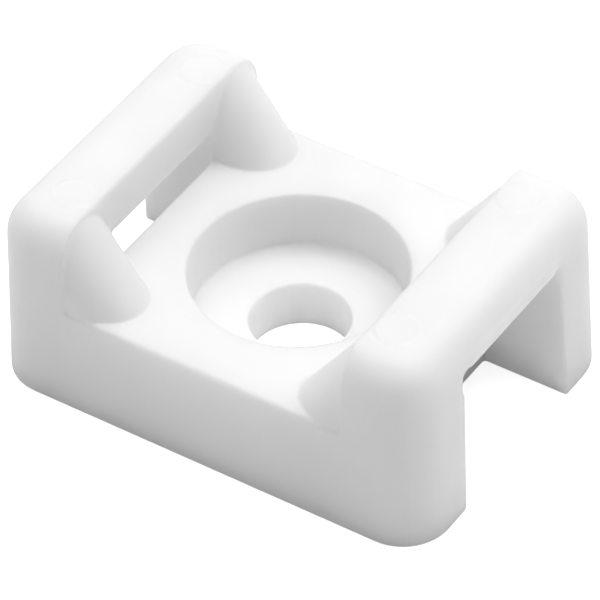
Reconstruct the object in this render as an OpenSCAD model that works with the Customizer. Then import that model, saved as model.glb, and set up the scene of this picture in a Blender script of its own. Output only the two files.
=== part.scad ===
// Cable tie mount with a screw fixing, moulded in one piece.
//
// A rounded block carries two raised end bars with a saddle between them.
// A tie goes in at the mouth under one bar, over the deck and the head of
// the screw, and out under the other bar. The bundle lies on the bars.
// Millimetres. X runs along the mount, Y across it, +Z up out of the
// mounting surface, with the origin at the middle of the base.

/* [Body] */
// Length over both end bars, at the base
body_l = 22.2; // [21:0.1:30]
// Width at the base
body_w = 15.75; // [15.2:0.1:24]
// Height from the base to the flat top of the bars
body_h = 9.5; // [9.2:0.1:12]
// Radius of the upright corners, at the base
corner_r = 2.3; // [2.2:0.1:2.8]
// Angle by which every outer wall leans in, so that the part leaves its mould
draft_angle = 2; // [0.5:0.1:2.5]

/* [End bars] */
// Thickness of each end bar along the mount, at the base
bar_t = 4.1; // [3.7:0.1:4.6]
// Radius of the round over the outer top edges of the bars
bar_round = 1.85; // [1.4:0.05:1.9]
// Radius of the round along the top edge that faces the saddle
bar_inner_round = 0.2; // [0.1:0.05:0.5]

/* [Deck] */
// Height of the deck between the bars
deck_h = 5.35; // [4.6:0.1:5.8]
// Radius of the round along both long edges of the deck
deck_round = 0.3; // [0.15:0.05:0.6]

/* [Tie passage] */
// Width of the passage, at the base
passage_w = 8.15; // [6:0.1:8.3]
// Height of the lintel over the mouth, at the end of the mount
mouth_h = 7.55; // [7.3:0.05:7.9]
// Height of the passage's ceiling, at the saddle
throat_h = 6.7; // [6.6:0.1:7.4]
// Radius of the round on the window's top edge
throat_round = 0.45; // [0.2:0.05:0.5]
// Width of the sill that the deck leaves under each bar
sill_w = 0.12; // [0.1:0.01:0.4]
// Angle by which the passage's back wall leans out towards its mouth
back_wall_angle = 2.5; // [1:0.1:5]

/* [Lintel lip] */
// Height of the flat lip on the end face, above the mouth
lip_h = 0.6; // [0.3:0.01:0.8]
// How far the lip stands proud of the end face, at the mouth's height
lip_proud = 0.03; // [0.02:0.01:0.15]
// Radius of the lip's two top corners
lip_corner_r = 0.35; // [0.1:0.05:0.5]

/* [Screw seat] */
// Diameter of the screw hole
hole_d = 4.5; // [3.2:0.1:5.5]
// Diameter of the counterbore for the screw's head
seat_d = 9.7; // [8:0.1:10]
// Depth of the counterbore below the deck
seat_depth = 2.9; // [2:0.1:3.2]

/* [Gussets] */
// Radius of the round buttress that props each end of each bar
gusset_r = 1.8; // [1.5:0.05:1.9]
// Angle between the buttress and the vertical
gusset_lean = 36.5; // [33:0.5:42]
// How far the buttress reaches out over the deck from its bar
gusset_reach = 2.9; // [2.4:0.05:3]
// Distance from the side of the mount to the middle of the buttress
gusset_from_side = 2.07; // [1.9:0.01:2.2]

/* [Ejector discs] */
// Diameter of the round marks left by the ejector pins
disc_d = 1.9; // [1.4:0.1:2.4]
// How far the marks stand proud of the bars
disc_proud = 0.06; // [0.02:0.01:0.1]
// Distance of each mark's centre from the end of the mount
disc_from_end = 2.95; // [2.7:0.1:3.1]
// Distance of each mark's centre from the side of the mount
disc_from_side = 3.05; // [2.8:0.05:3.5]

/* [Hidden] */
$fn = 96;
// Length by which a cutting shape runs past the face that it opens
over = 1;
// Depth to which one solid runs into the next that it is joined to
root = 0.5;

// Inner face of a bar, measured from the middle of the mount
saddle_x = body_l / 2 - bar_t;
// Size of the block between the middles of its corners' rounds
middle_l = body_l - 2 * corner_r;
middle_w = body_w - 2 * corner_r;
// Slope of the outer walls
draft = tan(draft_angle);
// Middle of the buttress where it stands on the deck
gusset_x = saddle_x - gusset_reach + gusset_r / cos(gusset_lean);
gusset_y = body_w / 2 - gusset_from_side;
// Back wall of the passage, at the sill and at the base
sill_x = saddle_x + sill_w;
back_foot_x = sill_x - deck_h * tan(back_wall_angle);
// Outer face of the lintel lip
lip_x = body_l / 2 - draft * mouth_h + lip_proud;
// Half the width of the passage at its mouth's top
mouth_half_w = passage_w / 2 - draft * mouth_h;

// Outline of a wall from the middle of its corner's round outwards: it leans
// in by the draft and meets the top at height h with a round of radius r.
module wall_outline(h, r) {
    round_x = corner_r - draft * (h - r) - r / cos(draft_angle);
    tangent_x = round_x + r * cos(draft_angle);
    tangent_z = h - r + r * sin(draft_angle);
    polygon([[0, 0], [corner_r, 0], [tangent_x, tangent_z], [round_x, h], [0, h]]);
    intersection() {
        translate([round_x, h - r]) circle(r);
        square([corner_r, h]);
    }
}

// The whole outline across the mount, with a wall on each side.
module slab_outline(h, r) {
    translate([-middle_w / 2, 0]) square([middle_w, h]);
    translate([middle_w / 2, 0]) wall_outline(h, r);
    mirror([1, 0]) translate([middle_w / 2, 0]) wall_outline(h, r);
}

// Carries an outline drawn across the mount along the mount, for length l.
module along_x(l) {
    rotate([90, 0, 90]) translate([0, 0, -l / 2]) linear_extrude(l) children();
}

// Carries an outline drawn along the mount across the mount, for width w.
module along_y(w) {
    rotate([90, 0, 0]) translate([0, 0, -w / 2]) linear_extrude(w) children();
}

// Repeats its children at both ends of the mount.
module both_ends() {
    children();
    mirror([1, 0, 0]) children();
}

// Repeats its children at the four corners of the mount.
module four_corners() {
    both_ends() {
        children();
        mirror([0, 1, 0]) children();
    }
}

// The block that everything is cut from: upright corners, drafted walls and
// one round that runs along the top edge and over the corners.
module rounded_block() {
    along_x(middle_l) slab_outline(body_h, bar_round);
    both_ends()
        translate([middle_l / 2, 0, 0]) {
            along_y(middle_w) wall_outline(body_h, bar_round);
            translate([0, middle_w / 2, 0])
                rotate_extrude(angle = 90) wall_outline(body_h, bar_round);
            translate([0, -middle_w / 2, 0]) rotate([0, 0, -90])
                rotate_extrude(angle = 90) wall_outline(body_h, bar_round);
        }
}

// One end of the block, from the saddle outwards, as high as the bar.
module end_zone() {
    zone_l = bar_t + over;
    along_y(body_w + 2 * over) {
        translate([saddle_x, -over]) square([zone_l, body_h + over - bar_inner_round]);
        translate([saddle_x + bar_inner_round, -over])
            square([zone_l - bar_inner_round, body_h + 2 * over]);
        translate([saddle_x + bar_inner_round, body_h - bar_inner_round])
            circle(bar_inner_round);
    }
}

// The deck between the bars, with its two long edges rounded.
module deck() {
    along_x(2 * (saddle_x + root)) slab_outline(deck_h, deck_round);
}

// A round buttress that leans from the deck onto the end of a bar.
module gusset() {
    below = root / cos(gusset_lean) + gusset_r * tan(gusset_lean);
    above = (body_h - deck_h) / cos(gusset_lean) + gusset_r * tan(gusset_lean);
    translate([gusset_x, gusset_y, deck_h])
        rotate([0, gusset_lean, 0])
            translate([0, 0, -below]) cylinder(h = below + above, r = gusset_r);
}

// The flat lip on the end face, between the mouth and the bar's round.
module lintel_lip() {
    rotate([90, 0, 90])
        translate([0, 0, lip_x - 2 * root])
            linear_extrude(2 * root) {
                translate([-mouth_half_w, mouth_h - root])
                    square([2 * mouth_half_w, lip_h + root - lip_corner_r]);
                translate([-mouth_half_w + lip_corner_r, mouth_h - root])
                    square([2 * (mouth_half_w - lip_corner_r), lip_h + root]);
                for (side = [-1, 1])
                    translate([side * (mouth_half_w - lip_corner_r), mouth_h + lip_h - lip_corner_r])
                        circle(lip_corner_r);
            }
}

// Marks of the ejector pins on top of the bars.
module ejector_disc() {
    translate([body_l / 2 - disc_from_end, body_w / 2 - disc_from_side, body_h - root])
        cylinder(h = root + disc_proud, d = disc_d);
}

// Outline of the tie passage across the mount, with sides that lean in.
module passage_across() {
    top = mouth_h + over;
    half_top = passage_w / 2 - draft * top;
    polygon([
        [-passage_w / 2 - draft * over, -over], [passage_w / 2 + draft * over, -over],
        [half_top, top], [-half_top, top],
    ]);
}

// The tie passage seen from the side: a leaning back wall, the window over the
// sill, and a ceiling that rises from the rounded window edge to the mouth.
module passage_along() {
    rise = (mouth_h - throat_h) / bar_t;
    rise_angle = atan(rise);
    round_x = saddle_x + throat_round;
    round_z = throat_h + rise * throat_round + throat_round / cos(rise_angle);
    tangent_x = round_x + throat_round * sin(rise_angle);
    tangent_z = round_z - throat_round * cos(rise_angle);
    polygon([
        [back_foot_x - over * tan(back_wall_angle), -over], [sill_x, deck_h],
        [saddle_x - root, deck_h], [saddle_x - root, throat_h], [saddle_x, throat_h],
        [saddle_x + bar_t + over, mouth_h + rise * over], [saddle_x + bar_t + over, -over],
    ]);
    difference() {
        polygon([
            [saddle_x - root, throat_h - root], [tangent_x, tangent_z],
            [round_x, round_z], [saddle_x - root, round_z],
        ]);
        translate([round_x, round_z]) circle(throat_round);
    }
}

// The space that the tie runs through under one bar.
module tie_passage() {
    intersection() {
        along_y(body_w) passage_along();
        along_x(2 * (body_l + over)) passage_across();
    }
}

// Screw hole and the counterbore that takes the screw's head.
module screw_seat() {
    translate([0, 0, -over]) cylinder(h = deck_h + 2 * over, d = hole_d);
    translate([0, 0, deck_h - seat_depth]) cylinder(h = seat_depth + over, d = seat_d);
}

module mount_body() {
    color("whitesmoke")
        difference() {
            union() {
                intersection() {
                    rounded_block();
                    union() {
                        both_ends() end_zone();
                        deck();
                        four_corners() gusset();
                    }
                }
                both_ends() lintel_lip();
                four_corners() ejector_disc();
            }
            both_ends() tie_passage();
            screw_seat();
        }
}

mount_body();
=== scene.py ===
import math

import bpy
import numpy as np
import openvdb
from mathutils import Matrix, Vector


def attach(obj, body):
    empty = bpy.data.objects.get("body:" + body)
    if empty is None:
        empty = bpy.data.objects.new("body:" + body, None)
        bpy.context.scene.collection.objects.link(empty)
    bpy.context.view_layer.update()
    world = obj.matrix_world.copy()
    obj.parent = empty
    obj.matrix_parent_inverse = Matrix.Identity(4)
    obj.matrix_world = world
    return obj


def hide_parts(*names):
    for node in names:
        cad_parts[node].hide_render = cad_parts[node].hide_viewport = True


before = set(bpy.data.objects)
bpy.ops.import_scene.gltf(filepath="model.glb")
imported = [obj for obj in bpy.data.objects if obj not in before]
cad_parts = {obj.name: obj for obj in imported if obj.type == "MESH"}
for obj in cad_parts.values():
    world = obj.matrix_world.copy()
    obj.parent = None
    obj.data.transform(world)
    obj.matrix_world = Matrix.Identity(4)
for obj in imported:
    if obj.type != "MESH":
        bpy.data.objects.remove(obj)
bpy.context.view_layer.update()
NODE = "mount_body"
MM = 0.001

# ---------------------------------------------------------------- camera

# The point that the camera looks at, and how far away the camera is
LOOK_AT = Vector((0.0, 0.0, 4.0 * MM))
DISTANCE = 226.6 * MM
# Turn of the camera round the part, its lift over the floor, and its roll
HEADING = math.radians(34.35)
ELEVATION = math.radians(42.29)
ROLL = math.radians(-1.82)
# Width of the sensor and focal length, in mm, and the shift of the view in sensor widths
SENSOR = 36.0
FOCAL_LENGTH = 314.2
SHIFT = (0.0012, -0.0141)
# Nearest and farthest distance that is drawn, in metres
CLIP = (0.01, 10.0)


def set_camera():
    """Camera on a sphere round LOOK_AT, turned by the heading, lifted by the elevation, rolled."""
    back = Vector((math.sin(HEADING) * math.cos(ELEVATION),
                   -math.cos(HEADING) * math.cos(ELEVATION), math.sin(ELEVATION)))
    level = Vector((math.cos(HEADING), math.sin(HEADING), 0.0))
    upright = back.cross(level)
    right = level * math.cos(ROLL) + upright * math.sin(ROLL)
    up = upright * math.cos(ROLL) - level * math.sin(ROLL)
    lens = bpy.data.cameras.new("camera")
    lens.sensor_width = SENSOR
    lens.lens = FOCAL_LENGTH
    lens.shift_x, lens.shift_y = SHIFT
    lens.clip_start, lens.clip_end = CLIP
    camera = bpy.data.objects.new("camera", lens)
    turn = Matrix((right, up, back)).transposed().to_4x4()
    camera.matrix_world = Matrix.Translation(LOOK_AT + back * DISTANCE) @ turn
    bpy.context.scene.collection.objects.link(camera)
    bpy.context.scene.camera = camera


# ---------------------------------------------------------------- moulded body

# Spacing of the fine grid that holds the distance field, in mm
FIELD_STEP = 0.05
# How freely cells on flat stretches are joined into larger ones, from 0 to 1
JOINING = 0.01
# Half width of the band of true distances round the surface, in cells
BAND = 8
# Cells of empty space kept round the solid
MARGIN = 2
# How many spreads the averaging reaches to each side
AVERAGE_REACH = 3
# Smallest squared slope that a step towards the surface is divided by
LEAST_SLOPE = 1e-6
# Spread of the averaging that rounds the edges, in mm
SOFT_EDGE = 0.07
CRISP_EDGE = 0.03
# Height above which the edges stay crisp, and the height over which that sets in, in mm
CRISP_FROM = 9.0
CRISP_OVER = 0.3
# Spread of the averaging that rounds the upper inside corners of both tie passages, in mm
CORNER_SPREAD = 0.17
# Where those corners are: distance from the middle plane, height, and the ramp at each end, in mm
CORNER_ACROSS = (3.3, 4.35)
CORNER_UP = (6.3, 8.3)
CORNER_RAMP = 0.25


def distance_field(node, step):
    """Signed distance to the CAD solid on a regular grid, in mm, and the grid's first point."""
    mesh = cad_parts[node].data
    points = np.empty(len(mesh.vertices) * 3, np.float32)
    mesh.vertices.foreach_get("co", points)
    mesh.calc_loop_triangles()
    corners = np.empty(len(mesh.loop_triangles) * 3, np.int32)
    mesh.loop_triangles.foreach_get("vertices", corners)
    points = points.reshape(-1, 3) / MM
    # The imported mesh is loose triangles, so equal points are made one
    places, index = np.unique(np.round(points, 5), axis=0, return_inverse=True)
    triangles = index.reshape(-1)[corners].reshape(-1, 3).astype(np.uint32)
    grid = openvdb.FloatGrid.createLevelSetFromPolygons(
        places.astype(np.float32), triangles=triangles,
        transform=openvdb.createLinearTransform(voxelSize=step), halfWidth=float(BAND))
    first, last = grid.evalActiveVoxelBoundingBox()
    first = np.array(first) - MARGIN
    shape = np.array(last) + MARGIN + 1 - first
    values = np.empty(shape, np.float32)
    grid.copyToArray(values, ijk=tuple(int(n) for n in first))
    return values, first * step


def averaged(values, spread):
    """The field averaged with a bell curve along X, then Y, then Z: flat faces stay in
    place and every edge gets a round about twice the spread."""
    reach = int(math.ceil(AVERAGE_REACH * spread / FIELD_STEP))
    offsets = np.arange(-reach, reach + 1)
    weights = np.exp(-0.5 * (offsets * FIELD_STEP / spread) ** 2)
    weights /= weights.sum()
    for axis in range(3):
        edges = [(0, 0)] * 3
        edges[axis] = (reach, reach)
        padded = np.pad(values, edges, mode="edge")
        total = np.zeros_like(values)
        for offset, weight in zip(offsets, weights):
            cut = [slice(None)] * 3
            cut[axis] = slice(reach + offset, reach + offset + values.shape[axis])
            total += np.float32(weight) * padded[tuple(cut)]
        values = total
    return values


def ramp(x):
    """Smooth step from 0 to 1."""
    x = np.clip(x, 0.0, 1.0)
    return x * x * (3.0 - 2.0 * x)


def within(x, span, over):
    """1 inside the span, 0 outside, with a smooth step of the given length at each end."""
    return ramp((x - span[0]) / over) * ramp((span[1] - x) / over)


def sampled(values, start, places):
    """The field's value and slope at each place, linear between the grid's points."""
    local = (places - start) / FIELD_STEP
    cell = np.clip(np.floor(local).astype(int), 1, np.array(values.shape) - 3)
    part = local - cell
    value = np.zeros(len(places))
    slope = np.zeros((len(places), 3))
    for corner in np.ndindex(2, 2, 2):
        weight = np.prod(np.where(corner, part, 1.0 - part), axis=1)
        i, j, k = (cell + corner).T
        value += weight * values[i, j, k]
        slope += weight[:, None] * np.stack([
            values[i + 1, j, k] - values[i - 1, j, k],
            values[i, j + 1, k] - values[i, j - 1, k],
            values[i, j, k + 1] - values[i, j, k - 1]], axis=1) / (2 * FIELD_STEP)
    return value, slope


def onto_surface(values, start, places, rounds=4):
    """Each place moved along the field's slope until the field is zero there."""
    for _ in range(rounds):
        value, slope = sampled(values, start, places)
        steepness = np.maximum((slope ** 2).sum(axis=1), LEAST_SLOPE)
        places = places - slope * (value / steepness)[:, None]
    return places


def make_moulding(name):
    """The CAD solid's skin, drawn where the averaged distance field is zero. The average is
    wide low down and narrow from the tops of the bars up, and widest at the passages' upper
    corners. Elsewhere the wider of two averages only ever takes material off an edge."""
    values, start = distance_field(NODE, FIELD_STEP)
    height = start[2] + FIELD_STEP * np.arange(values.shape[2])
    crisp = ramp((height - CRISP_FROM) / CRISP_OVER).astype(np.float32)
    crisp_values = averaged(values, CRISP_EDGE)
    soft_values = np.maximum(crisp_values, averaged(values, SOFT_EDGE))
    across = start[1] + FIELD_STEP * np.arange(values.shape[1])
    corner = np.outer(within(np.abs(across), CORNER_ACROSS, CORNER_RAMP),
                      within(height, CORNER_UP, CORNER_RAMP)).astype(np.float32)
    corner_values = averaged(values, CORNER_SPREAD)
    values = soft_values * (1 - crisp) + crisp_values * crisp
    values += (corner_values - values) * corner
    grid = openvdb.FloatGrid(float(BAND * FIELD_STEP))
    grid.copyFromArray(np.ascontiguousarray(values))
    places, triangles, quads = grid.convertToPolygons(isovalue=0.0, adaptivity=JOINING)
    places = onto_surface(values, start, places.astype(float) * FIELD_STEP + start)
    faces = triangles.astype(int).tolist() + quads.astype(int).tolist()
    slope = sampled(values, start, places)[1]
    normals = slope / np.linalg.norm(slope, axis=1)[:, None]
    mesh = bpy.data.meshes.new(name)
    mesh.from_pydata((places * MM).tolist(), [], faces)
    mesh.validate()
    mesh.polygons.foreach_set("use_smooth", np.ones(len(mesh.polygons), bool))
    mesh.normals_split_custom_set_from_vertices(normals.tolist())
    piece = bpy.data.objects.new(name, mesh)
    bpy.context.scene.collection.objects.link(piece)
    print("MOULDING", len(places), "points", len(triangles) + 2 * len(quads), "triangles")
    return piece


# ---------------------------------------------------------------- materials

# Values between which most of the noise lies
NOISE_SPAN = (0.3, 0.7)
# Cloudiness and sheen of the nylon: size of the spots in mm, then lowest and highest value
CLOUDS = (4.0, 0.86, 0.88)
SHEEN = (1.5, 0.44, 0.56)
# Relief of the skin: size of the bumps and their depth, in mm
ORANGE_PEEL = (0.7, 0.003)
GRAIN = (0.1, 0.0008)
# Light that the floor gives off, and what the camera sees on top of that
FLOOR_GLOW = 0.09
FLOOR_SEEN = 0.6


def principled(name, **inputs):
    """A material with one Principled shader, its node tree, and the shader."""
    material = bpy.data.materials.new(name)
    material.use_nodes = True
    shader = material.node_tree.nodes["Principled BSDF"]
    for key, value in inputs.items():
        shader.inputs[key.replace("_", " ")].default_value = value
    return material, material.node_tree, shader


def noise(tree, size, detail):
    """Noise on the piece's own coordinates, with spots about size mm across."""
    place = tree.nodes.new("ShaderNodeTexCoord")
    texture = tree.nodes.new("ShaderNodeTexNoise")
    texture.inputs["Scale"].default_value = 1.0 / (size * MM)
    texture.inputs["Detail"].default_value = detail
    tree.links.new(place.outputs["Object"], texture.inputs["Vector"])
    return texture.outputs["Fac"]


def spread(tree, value, low, high):
    """Noise, which stays near the middle of its range, stretched to run from low to high."""
    stretch = tree.nodes.new("ShaderNodeMapRange")
    stretch.inputs["From Min"].default_value, stretch.inputs["From Max"].default_value = NOISE_SPAN
    stretch.inputs["To Min"].default_value = low
    stretch.inputs["To Max"].default_value = high
    tree.links.new(value, stretch.inputs["Value"])
    return stretch.outputs["Result"]


def relief(tree, height, depth, below=None):
    """Bumps of the given depth in mm, laid over those below."""
    bump = tree.nodes.new("ShaderNodeBump")
    bump.inputs["Distance"].default_value = depth * MM
    tree.links.new(height, bump.inputs["Height"])
    if below is not None:
        tree.links.new(below, bump.inputs["Normal"])
    return bump.outputs["Normal"]


def nylon():
    """Natural white nylon from the mould: light sinks in and comes out a little way off, the
    satin skin has a light orange peel and a fine grain, and the white is slightly cloudy."""
    material, tree, shader = principled(
        "natural_white_nylon", IOR=1.53,
        Subsurface_Weight=0.7, Subsurface_Radius=(1.0, 1.0, 1.0), Subsurface_Scale=2.6 * MM)
    clouds = spread(tree, noise(tree, CLOUDS[0], 2.0), *CLOUDS[1:])
    sheen = spread(tree, noise(tree, SHEEN[0], 3.0), *SHEEN[1:])
    peel = relief(tree, noise(tree, ORANGE_PEEL[0], 1.0), ORANGE_PEEL[1])
    skin = relief(tree, noise(tree, GRAIN[0], 1.0), GRAIN[1], peel)
    tree.links.new(clouds, shader.inputs["Base Color"])
    tree.links.new(sheen, shader.inputs["Roughness"])
    tree.links.new(skin, shader.inputs["Normal"])
    return material


def plain_floor():
    """Matt white board. The camera sees it a little brighter than it lights the part,
    as a sheet that is lit on its own."""
    material, tree, shader = principled(
        "pale_floor", Base_Color=(0.9, 0.9, 0.9, 1.0), Roughness=0.8)
    shader.inputs["Emission Color"].default_value = (1.0, 1.0, 1.0, 1.0)
    seen = tree.nodes.new("ShaderNodeLightPath")
    glow = tree.nodes.new("ShaderNodeMath")
    glow.operation = "MULTIPLY_ADD"
    glow.inputs[1].default_value = FLOOR_SEEN
    glow.inputs[2].default_value = FLOOR_GLOW
    tree.links.new(seen.outputs["Is Camera Ray"], glow.inputs[0])
    tree.links.new(glow.outputs[0], shader.inputs["Emission Strength"])
    return material


# ---------------------------------------------------------------- studio

# Distance from the middle of the floor to each of its edges, in metres
FLOOR_REACH = 1.0
# Distance of every soft box from the middle of the base, in metres
LIGHT_DISTANCE = 0.5
# Soft boxes: turn from +X and lift over the floor in degrees, size in metres, power in watts
LIGHTS = {
    "overhead": (0, 90, 0.3, 0.92),
    "left": (180, 25, 0.35, 0.365),
    "back": (90, 25, 0.35, 0.355),
    "right_back": (45, 30, 0.35, 0.117),
    "high_left": (180, 60, 0.3, 0.67),
    "high_right_back": (45, 60, 0.3, 1.02),
    "high_right_front": (-45, 60, 0.3, 0.194),
    "high_left_front": (-135, 60, 0.3, 0.059),
}


def area_light(name, place, size, power):
    """A square soft box at place, facing LOOK_AT."""
    lamp = bpy.data.lights.new(name, "AREA")
    lamp.size = size
    lamp.energy = power
    light = bpy.data.objects.new(name, lamp)
    place = Vector(place)
    light.location = place
    light.rotation_euler = (place - LOOK_AT).to_track_quat("Z", "Y").to_euler()
    bpy.context.scene.collection.objects.link(light)
    return light


def set_studio():
    """A flat floor under the part, a black room, and the soft boxes."""
    mesh = bpy.data.meshes.new("floor")
    r = FLOOR_REACH
    mesh.from_pydata([(-r, -r, 0), (r, -r, 0), (r, r, 0), (-r, r, 0)], [], [(0, 1, 2, 3)])
    floor = bpy.data.objects.new("floor", mesh)
    bpy.context.scene.collection.objects.link(floor)
    floor.data.materials.append(plain_floor())
    world = bpy.data.worlds.new("studio")
    world.use_nodes = True
    world.node_tree.nodes["Background"].inputs["Color"].default_value = (1, 1, 1, 1)
    world.node_tree.nodes["Background"].inputs["Strength"].default_value = 0.0
    bpy.context.scene.world = world
    for name, (turn, lift, size, power) in LIGHTS.items():
        turn, lift = math.radians(turn), math.radians(lift)
        place = Vector((math.cos(turn) * math.cos(lift),
                        math.sin(turn) * math.cos(lift), math.sin(lift)))
        area_light(name, place * LIGHT_DISTANCE, size, power)
    bpy.context.scene.view_settings.view_transform = "Standard"


set_camera()
body = make_moulding("moulded_body")
body.data.materials.append(nylon())
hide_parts(NODE)
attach(body, "root")
set_studio()
